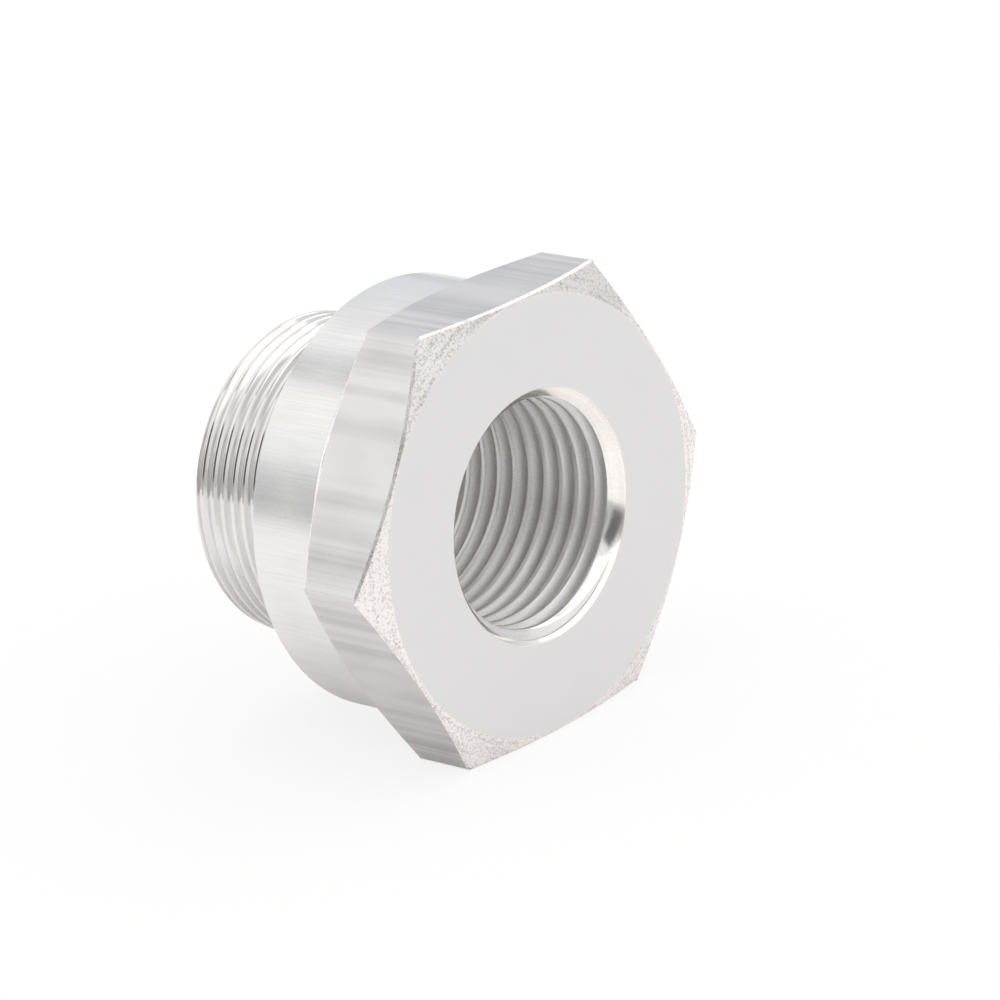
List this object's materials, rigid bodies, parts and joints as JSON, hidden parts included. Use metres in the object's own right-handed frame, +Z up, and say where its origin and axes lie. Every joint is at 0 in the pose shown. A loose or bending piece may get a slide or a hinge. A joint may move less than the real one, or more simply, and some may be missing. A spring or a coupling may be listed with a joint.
{
  "type": "sensor adapter fitting",
  "caption": "Hexagon-headed aluminium adapter: a tapped through hole takes a sensor, and a fine male thread behind a plain round shoulder screws into a port.",
  "frame": {"origin": "centre of the sensor face, on the axis of both threads", "axes": "+Y along the axis from the sensor face to the free end of the male thread; +Z up, square to the hexagon's upper flat; the fitting lies on the flat at -Z"},
  "size_m": [0.0368, 0.0227, 0.032],
  "materials": {
    "machined_aluminium": "bright as machined, matt lapped face, fine turning and drawing lines"
  },
  "bodies": {
    "root": {"adapter_body": "machined_aluminium"}
  },
  "joints": []
}
